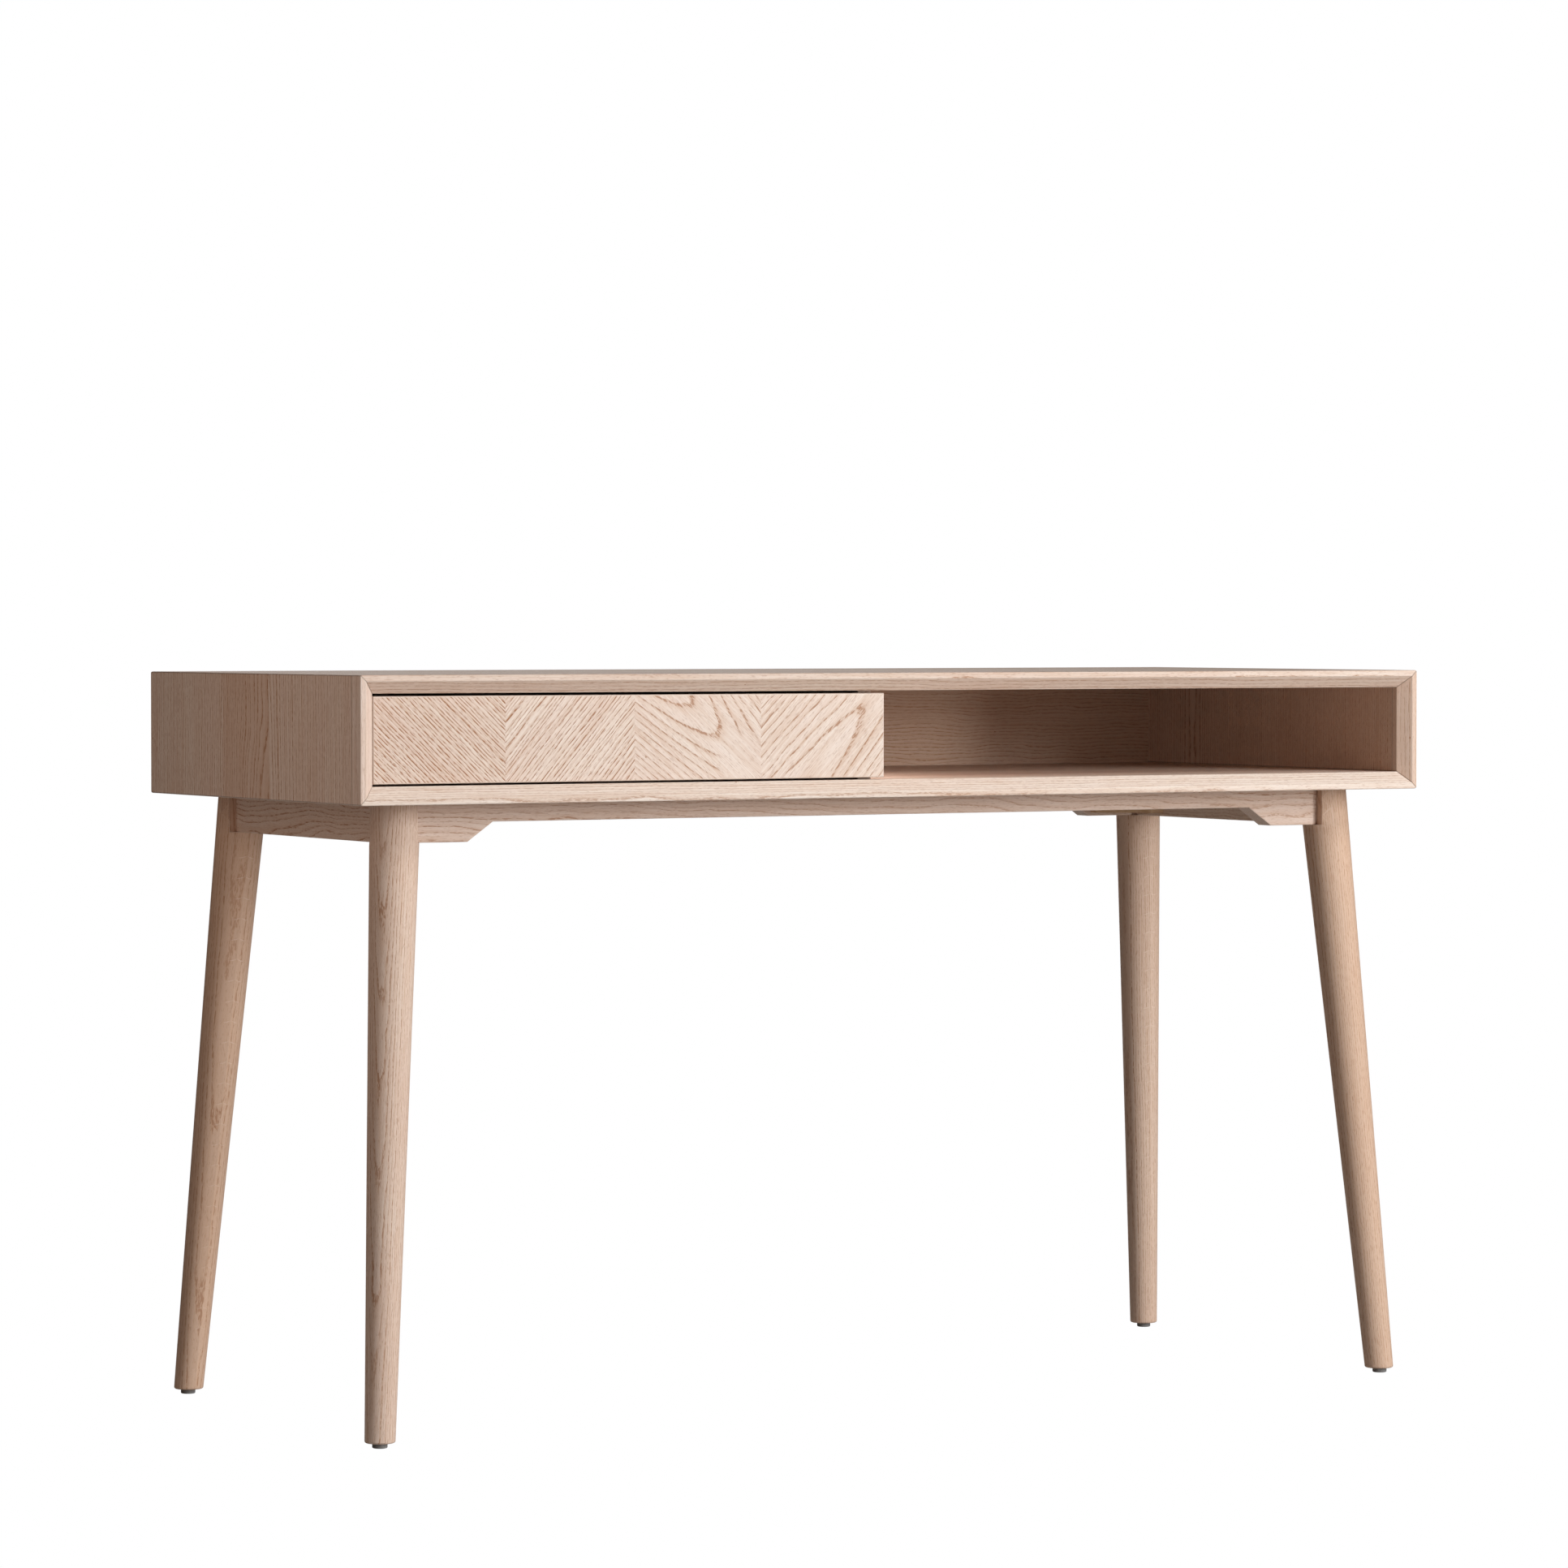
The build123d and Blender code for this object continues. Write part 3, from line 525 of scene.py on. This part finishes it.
def paint_drawer():
    """The drawer's core, its chevron of veneer leaves, and its plywood box."""
    paint_oak("drawer_front", X, Z, cut="straight", seed=18.0)
    # The leaves' outer edge gets a painted pale highlight line, with some wear.
    shared = {"figure": LEAF_FIGURE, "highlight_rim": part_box("drawer_front")}
    for index, (cut, slope, seed, soft, hard) in enumerate(LEAVES):
        turn = math.radians(slope)
        grain = Vector((math.cos(turn), 0, math.sin(turn)))
        across = Vector((-math.sin(turn), 0, math.cos(turn)))
        own = {"cut": cut, "seed": seed, "soft": soft, "hard": hard}
        own["quiet"] = QUIET_SPOT if cut == "tongues" else None
        paint_oak(f"drawer_front_leaf_{index + 1}", grain, across, **own, **shared)
    boards = {
        "drawer_left_side": (Y, Z), "drawer_right_side": (Y, Z), "drawer_sub_front": (X, Z),
        "drawer_back": (X, Z), "drawer_bottom": (X, Y), "mitre_splines": (Y, Z),
    }
    for index, (node, (grain, across)) in enumerate(boards.items()):
        birch = plain_wood(f"birch_{node}", grain, across, centre_of(node), *BIRCH, ply=PLY_PAIR, seed=index)
        paint(node, birch)


def leg_axis(corner):
    """The middle of a leg's glide, and the direction from there to the middle of its upper end."""
    foot = centre_of(f"{corner}_glide")
    low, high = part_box(f"{corner}_leg")
    axis = high - low
    for side in (0, 1):
        outside = low[side] if foot[side] < 0 else high[side]
        lean = axis[side] - 2 * abs(foot[side] - outside)
        axis[side] = -math.copysign(1, foot[side]) * lean
    return foot, axis.normalized()


def paint_legs():
    """Legs with their grain along their axes, and the corner blocks between the aprons."""
    for index, (corner, warmth_and_shade) in enumerate(LEG_WARMTH_AND_SHADE.items()):
        foot, axis = leg_axis(corner)
        level = (X - axis * axis.x).normalized()
        turn = LEG_TURN * index
        across = level * math.cos(turn) + axis.cross(level) * math.sin(turn)
        look = Look(cut="stave", seed=LEG_SEED + LEG_SEED_STEP * index, warm=warmth_and_shade)
        paint(f"{corner}_leg", oak(f"oak_{corner}_leg", axis, across, foot, look))
        block = f"{corner}_corner_block"
        paint(block, plain_wood(f"beech_{block}", X, Z, centre_of(block), *BEECH, seed=index))


def paint_aprons():
    """Aprons and the dowels in their ends."""
    paint_oak("front_apron", X, Z, cut="flowing", seed=70.0, figure=0.9, tone=0.3, warm=0.08)
    paint_oak("back_apron", X, Z, cut="rift", seed=74.0, figure=0.9, warm=0.15)
    paint_oak("left_apron", Y, Z, cut="flowing", seed=78.0, figure=1.2, tone=0.3, warm=0.15)
    paint_oak("right_apron", Y, Z, cut="rift", seed=82.0, figure=0.9, warm=0.15)
    paint("apron_dowels", plain_wood("beech_dowels", X, Z, centre_of("apron_dowels"), *BEECH))


def paint_hardware():
    """Every steel and plastic node."""
    materials = {"zinc_plated_steel": zinc_steel(), "glide_plastic": glide_plastic()}
    for part in frame["record"]["subparts"]:
        if part["material_slot"] in materials:
            paint(part["node"], materials[part["material_slot"]])


# ---- floor, light and camera

# A lamp has its place, what it faces, its height, power and colour, its width if that differs from
# its height, and whether it shows in reflections.
Lamp = namedtuple("Lamp", "place aim size power colour width shine", defaults=(None, False))
BAY_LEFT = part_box("divider_panel")[1].x + MM
CASE_MIDDLE = (0, 0, 0.6)
DAYLIGHT = (0.98, 1.07, 1.15)
LAMPS = {
    "key_light": Lamp((2.6, -5.3, 2.2), CASE_MIDDLE, 2.2, 212, DAYLIGHT),
    "top_light": Lamp((1.4, -3.6, 4.4), (0, 0, 0.7), 1.6, 104, DAYLIGHT),
    "low_light": Lamp((3.1, -5.3, 0.84), (0, 0, 0.68), 0.7, 64, (1.0, 1.02, 1.03)),
    "fill_light": Lamp((0.6, -6.0, 1.0), CASE_MIDDLE, 3.0, 34, (1.0, 0.92, 0.86), shine=True),
    "side_light": Lamp((-1.25, -0.15, 0.85), (-0.6, 0, 0.64), 0.7, 1.5, (1.0, 0.85, 0.77)),
    "bay_light": Lamp((BAY_LEFT, -0.12, 0.69), (0.6, -0.12, 0.69), 0.08, 0.16, (0.94, 0.97, 1.0), width=0.2),
    "back_light": Lamp((2.0, 4.5, 3.2), CASE_MIDDLE, 2.4, 25, (1.0, 1.0, 1.0), shine=True),
    "rear_light": Lamp((1.6, 6.0, 0.9), (0, 0, 0.5), 2.0, 95, (1.0, 0.95, 0.9)),
}
ROOM_COLOUR, ROOM_STRENGTH = (1.0, 0.74, 0.56, 1), 0.05
FLOOR_COLOUR, FLOOR_REACH = (0.5, 0.48, 0.46, 1), 60
WHITE = (1, 1, 1, 1)

CAMERA_PLACE = (-3.0156, -5.3502, 0.7995)
CAMERA_TURN, CAMERA_DROP = 29.327, 1.572
CAMERA_SENSOR, CAMERA_LENS = 36, 134.17
CAMERA_REACH = 200


def make_floor():
    """A plain floor that is white to the camera, reaches past its view and is clear from below."""
    mesh = bpy.data.meshes.new("floor")
    corners = [(x * FLOOR_REACH, y * FLOOR_REACH, 0) for x, y in ((-1, -1), (1, -1), (1, 1), (-1, 1))]
    mesh.from_pydata(corners, [], [(0, 1, 2, 3)])
    floor = bpy.data.objects.new("floor", mesh)
    bpy.context.scene.collection.objects.link(floor)
    shader = new_shader("floor_white")
    pale = shader.add("BsdfDiffuse", {"Color": FLOOR_COLOUR})
    glow = shader.add("Emission", {"Color": WHITE, "Strength": 1.0})
    clear = shader.add("BsdfTransparent")
    seen = shader.add("LightPath").outputs["Is Camera Ray"]
    above = shader.add("MixShader", {0: seen, 1: pale.outputs[0], 2: glow.outputs[0]})
    from_below = shader.add("NewGeometry").outputs["Backfacing"]
    sided = shader.add("MixShader", {0: from_below, 1: above.outputs[0], 2: clear.outputs[0]})
    shader.output("OutputMaterial", sided)
    mesh.materials.append(shader.owner)


def make_lamp(name, lamp):
    """A soft lamp that the camera doesn't see."""
    data = bpy.data.lights.new(name, "AREA")
    data.shape, data.energy, data.color = "RECTANGLE", lamp.power, lamp.colour
    data.size, data.size_y = lamp.width or lamp.size, lamp.size
    light = bpy.data.objects.new(name, data)
    light.location = lamp.place
    light.visible_camera = False
    light.visible_glossy = lamp.shine
    light.rotation_euler = (Vector(lamp.aim) - Vector(lamp.place)).to_track_quat("-Z", "Y").to_euler()
    bpy.context.scene.collection.objects.link(light)


def make_room():
    """A dim, warm and even room, which is white where the camera sees it."""
    world = bpy.data.worlds.new("studio")
    bpy.context.scene.world = world
    shader = Shader(world)
    room = shader.add("Background", {"Color": ROOM_COLOUR, "Strength": ROOM_STRENGTH})
    white = shader.add("Background", {"Color": WHITE})
    seen = shader.add("LightPath").outputs["Is Camera Ray"]
    both = shader.add("MixShader", {0: seen, 1: room.outputs[0], 2: white.outputs[0]})
    shader.output("OutputWorld", both)


def make_camera():
    """The camera, low and to the left of the desk, looking slightly down."""
    data = bpy.data.cameras.new("camera")
    data.sensor_width, data.lens = CAMERA_SENSOR, CAMERA_LENS
    data.clip_end = CAMERA_REACH
    camera = bpy.data.objects.new("camera", data)
    camera.location = CAMERA_PLACE
    camera.rotation_euler = (math.radians(90 - CAMERA_DROP), 0, math.radians(-CAMERA_TURN))
    bpy.context.scene.collection.objects.link(camera)
    bpy.context.scene.camera = camera


paint_case()
paint_drawer()
paint_legs()
paint_aprons()
paint_hardware()
make_floor()
for lamp_name, lamp in LAMPS.items():
    make_lamp(lamp_name, lamp)
make_room()
make_camera()
bpy.context.scene.view_settings.view_transform = "Standard"
